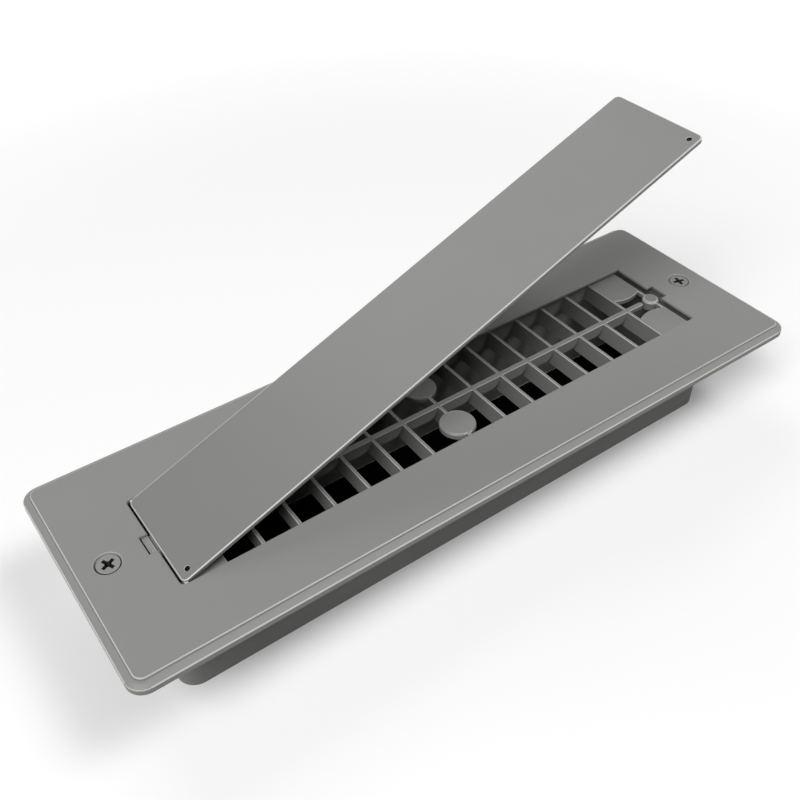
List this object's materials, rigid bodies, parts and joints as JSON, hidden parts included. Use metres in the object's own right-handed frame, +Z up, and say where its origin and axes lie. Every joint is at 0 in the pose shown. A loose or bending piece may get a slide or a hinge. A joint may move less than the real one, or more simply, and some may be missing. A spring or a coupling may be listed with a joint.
{
  "type": "floor register",
  "caption": "Rectangular floor register: rimmed faceplate on a duct collar, a ribbed grille inside it and a flat lid that flips up at one end.",
  "frame": {"origin": "centre of the collar's bottom edge, on which the register stands when it is out of a floor", "axes": "+X along the register, away from the lid's hinge; +Z up, out of the floor"},
  "size_m": [0.2914, 0.0964, 0.1324],
  "materials": {
    "frame": "satin grey",
    "grille_insert": "satin grey",
    "lid": "satin grey",
    "mounting_screws": "satin grey"
  },
  "bodies": {
    "base": {"frame": "frame", "grille_insert": "grille_insert", "mounting_screws": "mounting_screws"},
    "lid": {"lid": "lid"}
  },
  "joints": [
    {"name": "lid_hinge", "type": "hinge", "parent": "base", "child": "lid", "pos_m": [-0.11511, 0, 0.04455], "axis": [0, -1, 0], "range_deg": [-22, 68]}
  ]
}
